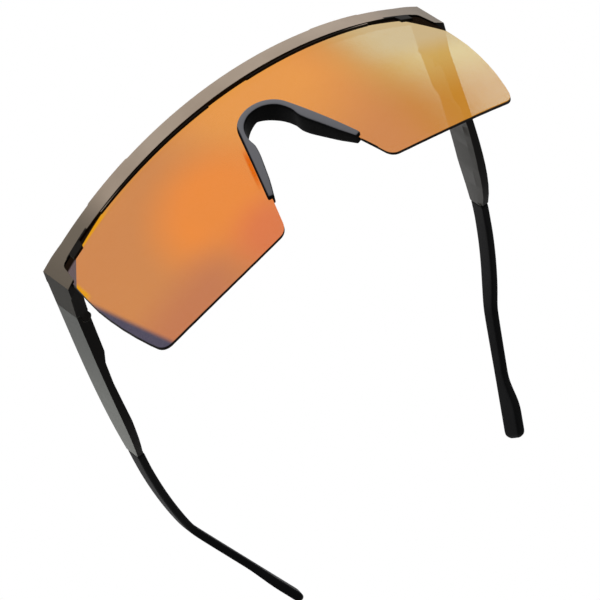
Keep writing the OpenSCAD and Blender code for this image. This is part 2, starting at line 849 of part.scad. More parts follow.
module right_hinge_insert() {
    color(brass) placed() mirror([1, 0, 0]) hinge_insert();
}

brow_frame();
lens();
nose_piece();
left_temple_arm();
right_temple_arm();
left_temple_core();
right_temple_core();
left_temple_tip();
right_temple_tip();
left_hinge_screw();
right_hinge_screw();
left_hinge_insert();
right_hinge_insert();
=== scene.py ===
"""Half-rim cycling sunglasses: materials, soft pieces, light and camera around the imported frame."""

import json
import math

import bpy
from mathutils import Matrix, Vector

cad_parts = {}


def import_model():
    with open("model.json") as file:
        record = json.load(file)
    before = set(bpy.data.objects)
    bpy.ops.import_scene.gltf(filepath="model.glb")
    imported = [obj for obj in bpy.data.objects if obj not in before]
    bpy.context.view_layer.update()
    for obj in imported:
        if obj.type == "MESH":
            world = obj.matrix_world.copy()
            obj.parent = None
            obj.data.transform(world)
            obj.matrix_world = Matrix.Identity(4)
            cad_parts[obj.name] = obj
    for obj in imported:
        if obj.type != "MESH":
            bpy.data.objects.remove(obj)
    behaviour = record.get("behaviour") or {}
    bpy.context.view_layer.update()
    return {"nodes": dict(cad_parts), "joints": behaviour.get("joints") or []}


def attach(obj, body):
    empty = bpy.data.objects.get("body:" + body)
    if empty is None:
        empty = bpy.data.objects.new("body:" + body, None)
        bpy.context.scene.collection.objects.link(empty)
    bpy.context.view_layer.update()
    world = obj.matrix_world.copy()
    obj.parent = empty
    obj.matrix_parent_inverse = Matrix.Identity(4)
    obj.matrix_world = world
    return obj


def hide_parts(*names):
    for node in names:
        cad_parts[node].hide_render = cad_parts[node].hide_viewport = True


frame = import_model()

MM = 0.001

# From the worn frame (mm) to the resting frame (m): the left hinge gives tilt and place
HINGE_WORN = Vector((67.1, 14.2, -5.4))
hinge = next(j for j in frame["joints"] if j["name"] == "left_temple_fold")
TILT = math.atan2(hinge["axis"][1], hinge["axis"][2])
TURN = Matrix.Rotation(-TILT, 4, "X")
SHIFT = Vector(hinge["pos_m"]) - (TURN @ HINGE_WORN) * MM
REST = Matrix.Translation(SHIFT) @ TURN @ Matrix.Scale(MM, 4)
WORN_DOWN = TURN.to_3x3() @ Vector((0, 0, -1))
WORN_BACK = TURN.to_3x3() @ Vector((0, 1, 0))


def rest(p):
    return REST @ Vector(p)


def rgb(*shown):
    """A display colour (0 to 255) as linear light."""
    return (*(((v / 255 + 0.055) / 1.055) ** 2.4 if v > 10 else v / 3295 for v in shown), 1.0)


def grey(v):
    return (v, v, v, 1)


# Node materials


class Nodes:
    """A node tree, with short calls for adding and linking nodes."""

    def __init__(self, tree):
        self.tree = tree

    def set(self, node, key, value):
        if isinstance(value, bpy.types.NodeSocket):
            self.tree.links.new(value, node.inputs[key])
        else:
            node.inputs[key].default_value = value

    def add(self, kind, **inputs):
        node = self.tree.nodes.new("ShaderNode" + kind)
        for key, value in inputs.items():
            self.set(node, key.replace("_", " "), value)
        return node

    def maths(self, op, a, b=0.0):
        node = self.add("Math")
        node.operation = op
        self.set(node, 0, a)
        self.set(node, 1, b)
        return node.outputs[0]

    def plus(self, a, b):
        return self.maths("ADD", a, b)

    def less(self, a, b):
        return self.maths("SUBTRACT", a, b)

    def times(self, a, b):
        return self.maths("MULTIPLY", a, b)

    def larger(self, a, b):
        return self.maths("MAXIMUM", a, b)

    def vector(self, op, a, b=(0, 0, 0)):
        node = self.add("VectorMath")
        node.operation = op
        self.set(node, 0, a)
        self.set(node, 1, b)
        return node.outputs["Value" if op in ("DOT_PRODUCT", "LENGTH") else "Vector"]

    def dot(self, a, way):
        return self.vector("DOT_PRODUCT", a, way)

    def split(self, a):
        return self.add("SeparateXYZ", Vector=a).outputs

    def step(self, value, none, full):
        """Rises smoothly from 0 to 1 between two values, of which either may be the larger."""
        node = self.add("MapRange", Value=value, From_Min=none, From_Max=full)
        node.interpolation_type = "SMOOTHSTEP"
        return node.outputs[0]

    def mix(self, factor, a, b):
        """Mixes two colours."""
        node = self.add("Mix")
        node.data_type = "RGBA"
        self.set(node, 0, factor)
        self.set(node, 6, a)
        self.set(node, 7, b)
        return node.outputs[2]

    def blend(self, factor, a, b):
        """Mixes two shaders."""
        node = self.add("MixShader")
        for key, value in enumerate((factor, a, b)):
            self.set(node, key, value)
        return node.outputs[0]

    def both(self, a, b):
        """Adds two shaders."""
        node = self.add("AddShader")
        self.set(node, 0, a)
        self.set(node, 1, b)
        return node.outputs[0]

    def place(self):
        return self.add("TexCoord").outputs["Object"]

    def facing(self):
        return self.add("TexCoord").outputs["Normal"]

    def noise(self, scale, detail=3.0):
        node = self.add("TexNoise", Vector=self.place(), Scale=scale, Detail=detail)
        return node.outputs["Fac"]

    def rounded(self, radius):
        return self.add("Bevel", Radius=radius).outputs["Normal"]

    def bump(self, height, strength, distance, **normal):
        node = self.add("Bump", Height=height, Strength=strength, Distance=distance, **normal)
        return node.outputs["Normal"]

    def principled(self, specular=0.5, **inputs):
        node = self.add("BsdfPrincipled", **inputs)
        node.inputs["Specular IOR Level"].default_value = specular
        return node.outputs[0]

    def glossy(self, colour, roughness):
        return self.add("BsdfGlossy", Color=colour, Roughness=roughness).outputs[0]

    def clear(self, **colour):
        return self.add("BsdfTransparent", **colour).outputs[0]


class Material(Nodes):
    def __init__(self, name):
        self.mat = bpy.data.materials.new(name)
        self.mat.use_nodes = True
        super().__init__(self.mat.node_tree)
        self.tree.nodes.clear()
        self.out = self.add("OutputMaterial")

    def surface(self, shader):
        self.set(self.out, "Surface", shader)
        return self.mat


# Paint

# Painted shade: near black for the faces turned from the light
SHADE_BLACK = rgb(20, 17, 14)
BROW_ENDS_SHADE, BROW_FLANK_SHADE = rgb(103, 93, 80), rgb(48, 45, 39)
# Painted shade: the temple arms' darker front and inner side
ARM_FRONT_SHADE, ARM_INNER_SHADE = rgb(44, 47, 40), rgb(47, 45, 41)
# A span is a pair: where something starts, and where it is full. These are of the way that a face looks
TURNED, NOT_TOP = (0.55, 0.7), (-0.6, -0.3)
BROW_INWARD, BROW_OUTWARD, ARM_INWARD = (-0.45, -0.65), (0.5, 0.8), (-0.3, -0.7)
# The brow's front is part of an upright cylinder about this line; what lies behind it gets painted
# shade
BROW_RADIUS, BROW_AXIS = 0.1197, rest((0, 97.1, 0)).dot(WORN_BACK)
RECESS = (BROW_RADIUS - 0.0003, BROW_RADIUS - 0.0005)
# Below the brow's lower edge, beside its hooks, only the lens's bead and tabs stand out
BROW_LOW = rest((0, 0, -6.1)).dot(WORN_DOWN)
BEAD_DROP, BEAD_WIDE, HOOK_WIDE = (0.0, 0.0001), (0.055, 0.0555), (0.0645, 0.0640)
# Painted shade: the brow's tone is darker towards its ends, less so at the wearer's left
LEFT_END, RIGHT_END, LEFT_SHARE = (0.050, 0.062), (-0.042, -0.057), 0.6
# The painted shade on the temple arms fades out over this length behind their front
TEMPLE_FRONT, TEMPLE_FADE = rest((0, 14, 0)).dot(WORN_BACK), 0.055

# Scales of the noises, the grain's height in metres, and how much the paint's roughness varies
CLOUDY, CLOUD_SCALE, GLOSS_SCALE, GRAIN_SCALE = (0.3, 0.7), 60.0, 900.0, 9000.0
GRAIN_HEIGHT, GRAIN_STRENGTH, GLOSS_SPREAD = 0.00003, 0.25, 0.08
# Radius that the edges of painted parts seem to have
EDGE_ROUND = 0.0003
# Specular level of the paint; specular level, roughness and cloudiness of the painted shade
PAINT_SPECULAR, SHADE_SPECULAR, SHADE_ROUGH, SHADE_CLOUD = 0.35, 0.06, 0.5, 0.3


def outwards(n, facing, x):
    """How far a face looks away from the middle of the glasses."""
    return n.times(n.maths("SIGN", x), n.split(facing)[0])


def below_brow(n, place):
    return n.less(n.dot(place, WORN_DOWN), BROW_LOW)


def brow_sides(n, facing, place, tone):
    """The brow's tone, the tone of its painted shade, and where that painted shade goes."""
    x = n.split(place)[0]
    wide = n.maths("ABSOLUTE", x)
    outward = outwards(n, facing, x)
    down = n.dot(facing, WORN_DOWN)
    rear = n.step(n.dot(facing, WORN_BACK), *TURNED)
    inward = n.step(outward, *BROW_INWARD)
    shaded = n.larger(n.step(down, *TURNED), n.larger(rear, inward))

    # Painted shade also goes on the lens's beads beside the hooks, and on faces set back behind the
    # brow's front
    inside_hooks = n.step(wide, *HOOK_WIDE)
    beside_hooks = n.times(n.step(wide, *BEAD_WIDE), inside_hooks)
    beads = n.times(n.step(below_brow(n, place), *BEAD_DROP), beside_hooks)
    back = n.less(n.dot(place, WORN_BACK), BROW_AXIS)
    radius = n.maths("SQRT", n.plus(n.times(x, x), n.times(back, back)))
    recess = n.times(n.step(radius, *RECESS), inside_hooks)
    shaded = n.larger(n.larger(shaded, beads), n.times(recess, n.step(down, *NOT_TOP)))

    # Painted shade: darker towards the brow's ends
    ends = n.larger(n.times(n.step(x, *LEFT_END), LEFT_SHARE), n.step(x, *RIGHT_END))
    # Painted shade: the outward flanks are darker, shown with the dull shader
    flank = n.step(outward, *BROW_OUTWARD)
    tone = n.mix(ends, tone, BROW_ENDS_SHADE)
    return tone, n.mix(flank, SHADE_BLACK, BROW_FLANK_SHADE), n.larger(shaded, flank)


def arm_sides(n, facing, place, tone):
    """As brow_sides, for a temple arm: painted shade, darker at its front and on its inner side."""
    outward = outwards(n, facing, n.split(place)[0])
    behind = n.step(n.dot(place, WORN_BACK), TEMPLE_FRONT, TEMPLE_FRONT + TEMPLE_FADE)
    tone = n.mix(behind, ARM_FRONT_SHADE, tone)
    tone = n.mix(n.step(outward, *ARM_INWARD), tone, ARM_INNER_SHADE)
    return tone, SHADE_BLACK, n.step(n.dot(facing, WORN_DOWN), *TURNED)


def painted(name, dark, light, metallic, roughness, sides):
    """Satin paint on moulded nylon: cloudy tone and fine grain, with dark, dull painted shade on the
    faces turned from the light.
    """
    n = Material(name)
    cloud = n.step(n.noise(CLOUD_SCALE), *CLOUDY)
    tone, shade_tone, shaded = sides(n, n.facing(), n.place(), n.mix(cloud, dark, light))
    grain = n.noise(GRAIN_SCALE, 2.0)
    normal = n.bump(grain, GRAIN_STRENGTH, GRAIN_HEIGHT, Normal=n.rounded(EDGE_ROUND))
    rough = n.plus(roughness - GLOSS_SPREAD / 2, n.times(n.noise(GLOSS_SCALE), GLOSS_SPREAD))
    paint = n.principled(
        PAINT_SPECULAR, Base_Color=tone, Metallic=metallic, Roughness=rough, Normal=normal
    )
    # Painted shade: a dark, dull shader on the faces turned from the light
    shade_tone = n.mix(n.times(cloud, SHADE_CLOUD), shade_tone, grey(0))
    nylon = n.principled(SHADE_SPECULAR, Base_Color=shade_tone, Roughness=SHADE_ROUGH, Normal=normal)
    return n.surface(n.blend(shaded, paint, nylon))


# Lens: one ball shell, by its centre and radii in the worn frame

LENS_BACK, LENS_UP, LENS_RADIUS, LENS_THICK = 103.2, -7.0, 124.0, 1.2
LENS_CENTRE = rest((0, LENS_BACK, LENS_UP))


def plane_through(start, end):
    """The plane of a line on the lens and the ball's centre: its direction, and its place along it."""
    way = (LENS_CENTRE - start).cross(end - start).normalized()
    return way, start.dot(way)


# Outer edge of the right half of the lens, where a painted reflection of something dark turns it violet
BAND_WAY, BAND_AT = plane_through(rest((-66.9, 1.8, -30)), rest((-61.7, 5, -50)))
BAND = (BAND_AT - 0.0006, BAND_AT + 0.0014)
# Line along the outer side of the nose piece's right leg, where light is painted on the lens as a glow
GLOW_FROM, GLOW_TO = rest((-10.6, -18.1, -30.6)), rest((-16.4, -13.3, -46.3))
GLOW_WAY, GLOW_AT = plane_through(GLOW_FROM, GLOW_TO)
GLOW_LONG = GLOW_TO - GLOW_FROM
GLOW_OFF, GLOW_HALF = 0.0006, (0.0009, 0.0003)
GLOW_START, GLOW_FADE = (-0.0015, 0.004), 0.009
# On the nose piece, the painted light on the front ends short of that line
NOSE_TONE = (GLOW_AT - 0.0004, GLOW_AT - 0.0008)

# Colours of the coating, and of the light, glow, shade, highlight and reflections painted on it
BASE, HIGHLIGHT_TONE, TOP = (0.62, 0.245, 0.08, 1), (0.83, 0.262, 0.05, 1), (0.80, 0.325, 0.075, 1)
GOLD, AMBER, HAZE = (0.61, 0.382, 0.105, 1), (0.55, 0.237, 0.025, 1), (0.60, 0.45, 0.24, 1)
ROSE, RED = (0.55, 0.195, 0.085, 1), (0.70, 0.175, 0.072, 1)
LIT, GLOW = (0.76, 0.33, 0.012, 1), (0.72, 0.135, 0.002, 1)
SHADE, MAUVE_REFLECTION, VIOLET_REFLECTION = rgb(26, 18, 12), rgb(104, 90, 92), rgb(80, 75, 92)
CUT_EDGE = rgb(13, 8, 6)
# What it lets through: the middle, the left end, the haze over that end, and the brow's shade
THICK_CLEAR, THIN_CLEAR = grey(0.008), (0.13, 0.23, 0.235, 1)
HAZE_CLEAR, SHADE_CLEAR = (0.04, 0.06, 0.06, 1), grey(0.004)
# Its inner side: what it mirrors and lets through, and the latter behind the painted violet reflection
INNER_GLOSS = (0.10, 0.06, 0.05, 1)
INNER_CLEAR, INNER_VIOLET = (0.42, 0.30, 0.24, 1), (0.36, 0.3, 0.3, 1)

# Round spots of colour: middle in the worn frame, and where they are full and gone, in metres
TOP_SPOT = ((8, -20, -14), 0.010, 0.042)
# The bright spot is a painted highlight
HIGHLIGHT_SPOT = ((-28, -13, -38), 0.009, 0.028)
RED_SPOT, RED_SHARE = ((-22, -9, -56), 0.004, 0.017), 0.75
# Fades of colour along x and z of the resting frame, each from none to full
ROSE_X, ROSE_Z = (-0.024, -0.046), (0.020, 0.004)
GOLD_X, AMBER_Z = (0.022, 0.050), (0.030, 0.008)
THIN_X, HAZE_X, HAZE_Z = (0.034, 0.064), (0.030, 0.052), (0.0265, 0.0385)
TINT_SCALE, TINT_SPAN, TINT_SHARE = 35.0, (0.35, 0.65), 0.08
# Light on the lens just below the brow, as a strip, and beside its right hook
STRIP_DROP, STRIP_LEFT, STRIP_RIGHT = (0.0030, 0.0022), (0.030, 0.010), (-0.046, -0.051)
STRIP_LEAST = 0.25
HOOK_DROP, HOOK_X = (0.0165, 0.0135), (-0.0668, -0.0678)
# Lower limits of the shade, as straight lines: start and slope below the brow and below its hooks
BROW_SHADE, HOOK_SHADE, HOOK_MORE = (0.0372, 0.088), (0.0591, 1.13), 0.0009
SHADE_EDGE = (-0.0001, 0.0002)
# Where the shade turns to a painted mauve reflection of the hook
MAUVE_DROP, MAUVE_X = (0.0022, 0.0030), (0.0, -0.001)
# How far a face looks along the ball's radius: its outer side, and all that isn't the cut edge
OUTER_SIDE, NOT_CUT = (-0.1, 0.1), (0.75, 0.95)
# On the cut edge the coating fades out between these distances from the ball's centre
COATED = (LENS_RADIUS * MM - 0.0001, LENS_RADIUS * MM - 0.0004)
MIRROR_ROUGH, INNER_ROUGH, CUT_ROUGH, CUT_SPECULAR = 0.03, 0.05, 0.5, 0.04


def lens_tone(n, place, x, z):
    """Orange in the middle, gold and amber at the wearer's left, rose low at the right."""

    def spot(worn, full, gone):
        return n.step(n.vector("LENGTH", n.vector("SUBTRACT", place, rest(worn))), gone, full)

    tone = n.mix(spot(*TOP_SPOT), BASE, TOP)
    # Painted highlight: a brighter spot on the wearer's right half
    tone = n.mix(spot(*HIGHLIGHT_SPOT), tone, HIGHLIGHT_TONE)
    tone = n.mix(n.times(n.step(z, *ROSE_Z), n.step(x, *ROSE_X)), tone, ROSE)
    tone = n.mix(n.step(x, *GOLD_X), tone, n.mix(n.step(z, *AMBER_Z), GOLD, AMBER))
    cloud = n.step(n.noise(TINT_SCALE, 1.0), *TINT_SPAN)
    tone = n.mix(n.times(cloud, TINT_SHARE), tone, ROSE)
    return n.mix(n.times(spot(*RED_SPOT), RED_SHARE), tone, RED)


def lit_below_brow(n, x, drop):
    strip = n.plus(STRIP_LEAST, n.times(1 - STRIP_LEAST, n.step(x, *STRIP_RIGHT)))
    strip = n.times(n.step(drop, *STRIP_DROP), n.times(strip, n.step(x, *STRIP_LEFT)))
    return n.larger(strip, n.times(n.step(x, *HOOK_X), n.step(drop, *HOOK_DROP)))


def brow_shade(n, x, drop):
    """Where the lens is in the shade of the brow and of its hooks, and the tone that it has there,
    turning to a painted mauve reflection of the hook on the wearer's right.
    """
    wide = n.maths("ABSOLUTE", x)
    below = n.times(n.less(wide, BROW_SHADE[0]), BROW_SHADE[1])
    hook_from = n.less(HOOK_SHADE[0], n.times(n.maths("SIGN", x), HOOK_MORE))
    limit = n.larger(below, n.times(n.less(wide, hook_from), HOOK_SHADE[1]))
    mauve = n.times(n.step(drop, *MAUVE_DROP), n.step(x, *MAUVE_X))
    return n.step(n.less(limit, drop), *SHADE_EDGE), n.mix(mauve, SHADE, MAUVE_REFLECTION)


# Painted light: where the glow is painted along the nose piece's leg
def nose_glow(n, place):
    aside = n.maths("ABSOLUTE", n.less(n.dot(place, GLOW_WAY), GLOW_AT + GLOW_OFF))
    along = n.dot(n.vector("SUBTRACT", place, GLOW_FROM), GLOW_LONG.normalized())
    ends = n.times(n.step(along, *GLOW_START), n.step(along, GLOW_LONG.length, GLOW_FADE))
    return n.times(ends, n.step(aside, *GLOW_HALF))


def lens_material():
    """Orange mirror coating on a see-through tinted shield, drawn by the place on the lens."""
    n = Material("lens_mirror")
    place = n.place()
    x, _, z = n.split(place)
    drop = below_brow(n, place)
    covered, shade = brow_shade(n, x, drop)
    reflection_band = n.step(n.dot(place, BAND_WAY), *BAND)
    haze = n.times(n.step(z, *HAZE_Z), n.step(x, *HAZE_X))

    tone = n.mix(lit_below_brow(n, x, drop), lens_tone(n, place, x, z), LIT)
    tone = n.mix(covered, tone, shade)
    tone = n.mix(nose_glow(n, place), tone, GLOW)
    # Painted reflection of something dark: a violet band on the outer edge
    tone = n.mix(reflection_band, tone, VIOLET_REFLECTION)
    tone = n.mix(n.times(haze, n.less(1.0, covered)), tone, HAZE)
    passed = n.mix(n.step(x, *THIN_X), THICK_CLEAR, THIN_CLEAR)
    passed = n.mix(haze, passed, HAZE_CLEAR)
    passed = n.mix(covered, passed, SHADE_CLEAR)

    # The coating is on the outer side; the cut edge is dark but for a line of coating along that side
    away = n.vector("SUBTRACT", place, LENS_CENTRE)
    outward = n.dot(n.vector("NORMALIZE", away), n.add("NewGeometry").outputs["True Normal"])
    mirror = n.glossy(tone, MIRROR_ROUGH)
    inner_tint = n.clear(Color=n.mix(reflection_band, INNER_CLEAR, INNER_VIOLET))
    inner = n.both(n.glossy(INNER_GLOSS, INNER_ROUGH), inner_tint)
    face = n.blend(n.step(outward, *OUTER_SIDE), inner, n.both(mirror, n.clear(Color=passed)))
    deep = n.step(n.vector("LENGTH", away), *COATED)
    dark = n.principled(CUT_SPECULAR, Base_Color=CUT_EDGE, Roughness=CUT_ROUGH)
    rim = n.less(1.0, n.step(n.maths("ABSOLUTE", outward), *NOT_CUT))
    face = n.blend(rim, face, n.blend(deep, mirror, dark))
    # Only the side that a ray enters by shows
    return n.surface(n.blend(n.add("NewGeometry").outputs["Backfacing"], face, n.clear()))


# Rubber and metal: scales of their noises, and heights in metres
RUBBER_CLOUDS, RUBBER_GRAIN, RUBBER_HEIGHT, RUBBER_SPECULAR = 200.0, 6000.0, 0.00005, 0.05
# Span of facing over which the nose piece's front takes its painted light
AHEAD = (0.5, 0.9)
METAL_LINES, METAL_HEIGHT, METAL_STRENGTH, METAL_ROUND = 5000.0, 0.00002, 0.15, 0.00008
METAL_SPAN, METAL_DARKER = (0.2, 0.8), 0.8


def rubber_material(name, dark, light, roughness, front=None):
    """Matt rubber; front is painted light, a lighter tone for faces that look ahead, up to the line of
    painted glow on the lens.
    """
    n = Material(name)
    cloud = n.step(n.noise(RUBBER_CLOUDS), *CLOUDY)
    tone = n.mix(cloud, dark, light)
    # Painted light: the faces that look ahead get the front tone
    if front:
        ahead = n.step(n.dot(n.facing(), -WORN_BACK), *AHEAD)
        inside = n.step(n.dot(n.place(), GLOW_WAY), *NOSE_TONE)
        tone = n.mix(n.times(ahead, inside), tone, front)
    normal = n.bump(n.noise(RUBBER_GRAIN, 2.0), GRAIN_STRENGTH, RUBBER_HEIGHT)
    return n.surface(n.principled(RUBBER_SPECULAR, Base_Color=tone, Roughness=roughness, Normal=normal))


def metal(name, colour, roughness):
    """Bright metal with fine uneven lines."""
    n = Material(name)
    lines = n.noise(METAL_LINES, 2.0)
    darker = (*(c * METAL_DARKER for c in colour[:3]), 1)
    tone = n.mix(n.step(lines, *METAL_SPAN), darker, colour)
    normal = n.bump(lines, METAL_STRENGTH, METAL_HEIGHT, Normal=n.rounded(METAL_ROUND))
    return n.surface(n.principled(Base_Color=tone, Metallic=1.0, Roughness=roughness, Normal=normal))


BRONZE = painted("brow_bronze_paint", rgb(150, 134, 118), rgb(160, 144, 128), 0.45, 0.42, brow_sides)
GRAPHITE = painted("temple_graphite_paint", rgb(92, 94, 87), rgb(100, 102, 95), 0.3, 0.45, arm_sides)
RUBBER = rubber_material("tip_rubber", rgb(6, 6, 7), rgb(11, 11, 12), 0.55)
# The nose piece: painted light and shade on one rubber, near black, and lighter on the faces that look
# ahead
NOSE_RUBBER = rubber_material("nose_rubber", rgb(4, 4, 4), rgb(8, 8, 9), 0.7, rgb(101, 101, 105))
STEEL = metal("screw_steel", (0.55, 0.56, 0.58, 1), 0.3)
BRASS = metal("insert_brass", (0.72, 0.52, 0.22, 1), 0.35)
LENS = lens_material()


# Soft pieces


def link(name, data):
    obj = bpy.data.objects.new(name, data)
    bpy.context.scene.collection.objects.link(obj)
    return obj


def mesh_object(name, verts, faces, material, level=1):
    """A smooth mesh, subdivided level times."""
    mesh = bpy.data.meshes.new(name)
    mesh.from_pydata([tuple(v) for v in verts], [], faces)
    mesh.validate()
    mesh.update()
    for poly in mesh.polygons:
        poly.use_smooth = True
    obj = link(name, mesh)
    mesh.materials.append(material)
    if level:
        sub = obj.modifiers.new("round", "SUBSURF")
        sub.levels = level
        sub.render_levels = level
    return obj


def loft(rings):
    """Vertices and faces of a closed sweep; each end closes on its own middle point."""
    n = len(rings[0])
    verts = [v for r in rings for v in r]
    faces = [
        (i * n + j, i * n + (j + 1) % n, (i + 1) * n + (j + 1) % n, (i + 1) * n + j)
        for i in range(len(rings) - 1)
        for j in range(n)
    ]
    for ring, first, turned in ((rings[0], 0, True), (rings[-1], (len(rings) - 1) * n, False)):
        middle = len(verts)
        verts.append(sum(ring, Vector()) / n)
        for j in range(n):
            a, b = first + j, first + (j + 1) % n
            faces.append((b, a, middle) if turned else (a, b, middle))
    return verts, faces


def lookup(table, t):
    """The value at t between the rows of a table."""
    for (a, va), (b, vb) in zip(table, table[1:]):
        if t <= b:
            return va + (vb - va) * max(0.0, t - a) / (b - a)
    return table[-1][1]


def smooth_lookup(table, t, spread=0.03):
    return sum(lookup(table, min(1, max(0, t + d * spread))) for d in (-1, -0.5, 0, 0.5, 1)) / 5


# Temple tips, along the same line as the solids; sizes in mm, tables by the share of the reach
ARM_END, TIP_END = Vector((66.55, 73.1, -3.0)), Vector((-23.6, 70.0, -16.0))
REACH, BEND_BACK, BEND_ROUND = TIP_END.y, 39.8, 2.2
BEND_IN, BEND_UP, BOW = 7.1, 2.9, 2.4
TIP_BEND = Vector((-BEND_IN, BEND_BACK, BEND_UP))
TIP_HALF = Vector((BEND_IN / 2 - 2 * BOW, BEND_BACK / 2, BEND_UP / 2))
TIP_REAR = TIP_END - TIP_BEND
TIP_WIDTH = [(0, 2.43), (0.1, 2.5), (1, 2.5)]
TIP_HEIGHT = [(0, 5.82), (0.15, 6.1), (0.45, 5.92), (0.6, 4.95), (0.8, 4.5), (1, 4.5)]
TIP_CORNER = [(0, 0.4), (0.1, 0.8), (1, 0.8)]
PADDLE = [(0, 0), (0.82, 0), (0.91, 1), (1, 1)]
WIDER, TALLER = 0.4, 2.9
# Rings along the tip, and points round each
TIP_STEPS, TIP_COUNT = 72, 24
# The rounded end: its reach, the height left at its very end, and the angles of its rings
TIP_NOSE, TIP_NOSE_HEIGHT, TIP_NOSE_RINGS = 2.0, 0.35, (20, 40, 58, 72, 82)


def tip_line(t):
    """The middle line: a bowed stretch up to the bend, then a straight one."""
    u = t * REACH - BEND_BACK
    behind = (u + math.sqrt(u * u + BEND_ROUND**2)) / 2
    s = (t * REACH - behind) / BEND_BACK
    front = TIP_HALF * (2 * s * (1 - s)) + TIP_BEND * (s * s)
    return ARM_END + front + TIP_REAR * (behind / (REACH - BEND_BACK))


def tip_frame(t):
    """Place, and the directions out, up and along."""
    way = (tip_line(min(t + 0.01, 1)) - tip_line(max(t - 0.01, 0))).normalized()
    if t <= 0:
        way = Vector((0, 1, 0))
    out = way.cross(Vector((0, 0, 1))).normalized()
    return tip_line(t), out, out.cross(way), way


def tip_ring(t, side, share=1.0, tall=1.0, ahead=0.0):
    """Points round the tip: a rounded rectangle that swells outwards and down at the paddle."""
    place, out, up, way = tip_frame(t)
    swell = smooth_lookup(PADDLE, t, 0.02)
    width = smooth_lookup(TIP_WIDTH, t) + swell * WIDER
    height = smooth_lookup(TIP_HEIGHT, t) + swell * TALLER
    place = place + (out * WIDER - up * TALLER) * (swell / 2) + way * ahead
    corner = min(lookup(TIP_CORNER, t), width * share / 2)
    ring = []
    for j in range(TIP_COUNT):
        a = 2 * math.pi * (j + 0.5) / TIP_COUNT * side
        c, s = math.cos(a), math.sin(a)
        x = math.copysign(width * share / 2 - corner, c) + corner * c
        z = math.copysign(height * tall / 2 - corner, s) + corner * s
        p = place + out * x + up * z
        ring.append(rest((side * p.x, p.y, p.z)))
    return ring


def temple_tip(side, name, body, node):
    rings = [tip_ring(i / TIP_STEPS, side) for i in range(TIP_STEPS + 1)]
    for a in TIP_NOSE_RINGS:
        c, s = math.cos(math.radians(a)), math.sin(math.radians(a))
        tall = TIP_NOSE_HEIGHT + (1 - TIP_NOSE_HEIGHT) * c
        rings.append(tip_ring(1, side, c, tall, TIP_NOSE * s))
    verts, faces = loft(rings)
    obj = mesh_object(name, verts, faces, RUBBER)
    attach(obj, body)
    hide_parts(node)


# Nose piece, on the rim of the lens's cut-out, which is drawn in a view that leans back; sizes in mm
LEAN = math.radians(10)
NOSE_RADIUS, NOSE_DROP, SPLAY, LEG = 9.2, 24.5, math.radians(19.5), 24.5
NOSE_ARC = NOSE_RADIUS * (math.pi / 2 - SPLAY)
NOSE_LENGTH = NOSE_ARC + LEG
ARC_STEPS, LEG_STEPS = 14, 26
NOSE_BRIDGE, NOSE_PAD, NOSE_END = 2.4, 3.4, 2.1
NOSE_WIDTH = [
    (0, NOSE_BRIDGE), (0.2, 0.96 * NOSE_BRIDGE), (0.35, 0.84 * NOSE_BRIDGE),
    (0.42, 0.9 * NOSE_BRIDGE), (0.46, 0.82 * NOSE_PAD), (0.5, 0.95 * NOSE_PAD),
    (0.58, NOSE_PAD), (0.85, 0.84 * NOSE_PAD), (1, NOSE_END),
]
BRIDGE_DEPTH, PAD_DEPTH, END_DEPTH, NOSE_FULL = 4.4, 6.6, 2.6, 0.45
GRIP, LIP, GAP, CORNER_CUT = 1.3, 1.0, 0.08, 0.14
# Rings of its two rounded ends: their size, and how far past the leg they lie
NOSE_ENDS = [(0.92, 0.3), (0.75, 0.5), (0.4, 0.62)]
CENTRE_Y = LENS_BACK * math.cos(LEAN) + LENS_UP * math.sin(LEAN)
CENTRE_Z = LENS_UP * math.cos(LEAN) - LENS_BACK * math.sin(LEAN)


def nose_depth(t):
    if t < NOSE_FULL:
        rise = math.sin(math.pi / 2 * min(1, t / NOSE_FULL * 1.5))
        return BRIDGE_DEPTH + (PAD_DEPTH - BRIDGE_DEPTH) * rise
    return PAD_DEPTH - (PAD_DEPTH - END_DEPTH) * ((t - NOSE_FULL) / (1 - NOSE_FULL)) ** 1.5


def lens_face(x, z, r=LENS_RADIUS):
    return CENTRE_Y - math.sqrt(r * r - x * x - (z - CENTRE_Z) ** 2)


def from_lean(x, y, z, side):
    """From the leaning view to the resting frame."""
    c, s = math.cos(LEAN), math.sin(LEAN)
    return rest((side * x, y * c - z * s, z * c + y * s))


def eased(points, radius):
    """A closed outline whose corners are cut back by radius, or by less where the sides are short."""
    out = []
    for i, q in enumerate(points):
        q = Vector(q)
        for p in (Vector(points[i - 1]), Vector(points[(i + 1) % len(points)])):
            way = p - q
            out.append(tuple(q + way * min(0.35, radius / way.length)))
    return out


def nose_section(t, depth):
    """Outline across the nose piece: the groove on the lens's edge, and the pad behind it."""
    w = smooth_lookup(NOSE_WIDTH, t, 0.015)
    groove, back = -GRIP - GAP, depth + GAP
    behind = nose_depth(t) - back
    section = eased([
        (-w, -LIP), (0, -LIP), (0, -GAP), (groove, -GAP), (groove, back), (-0.1, back),
        (-0.12 * w, back + 0.7 * behind), (-0.35 * w, back + 0.95 * behind),
        (-0.85 * w, back + behind), (-w, back + 0.9 * behind),
    ], CORNER_CUT)
    return section, Vector((-w / 2, (nose_depth(t) - LIP) / 2))


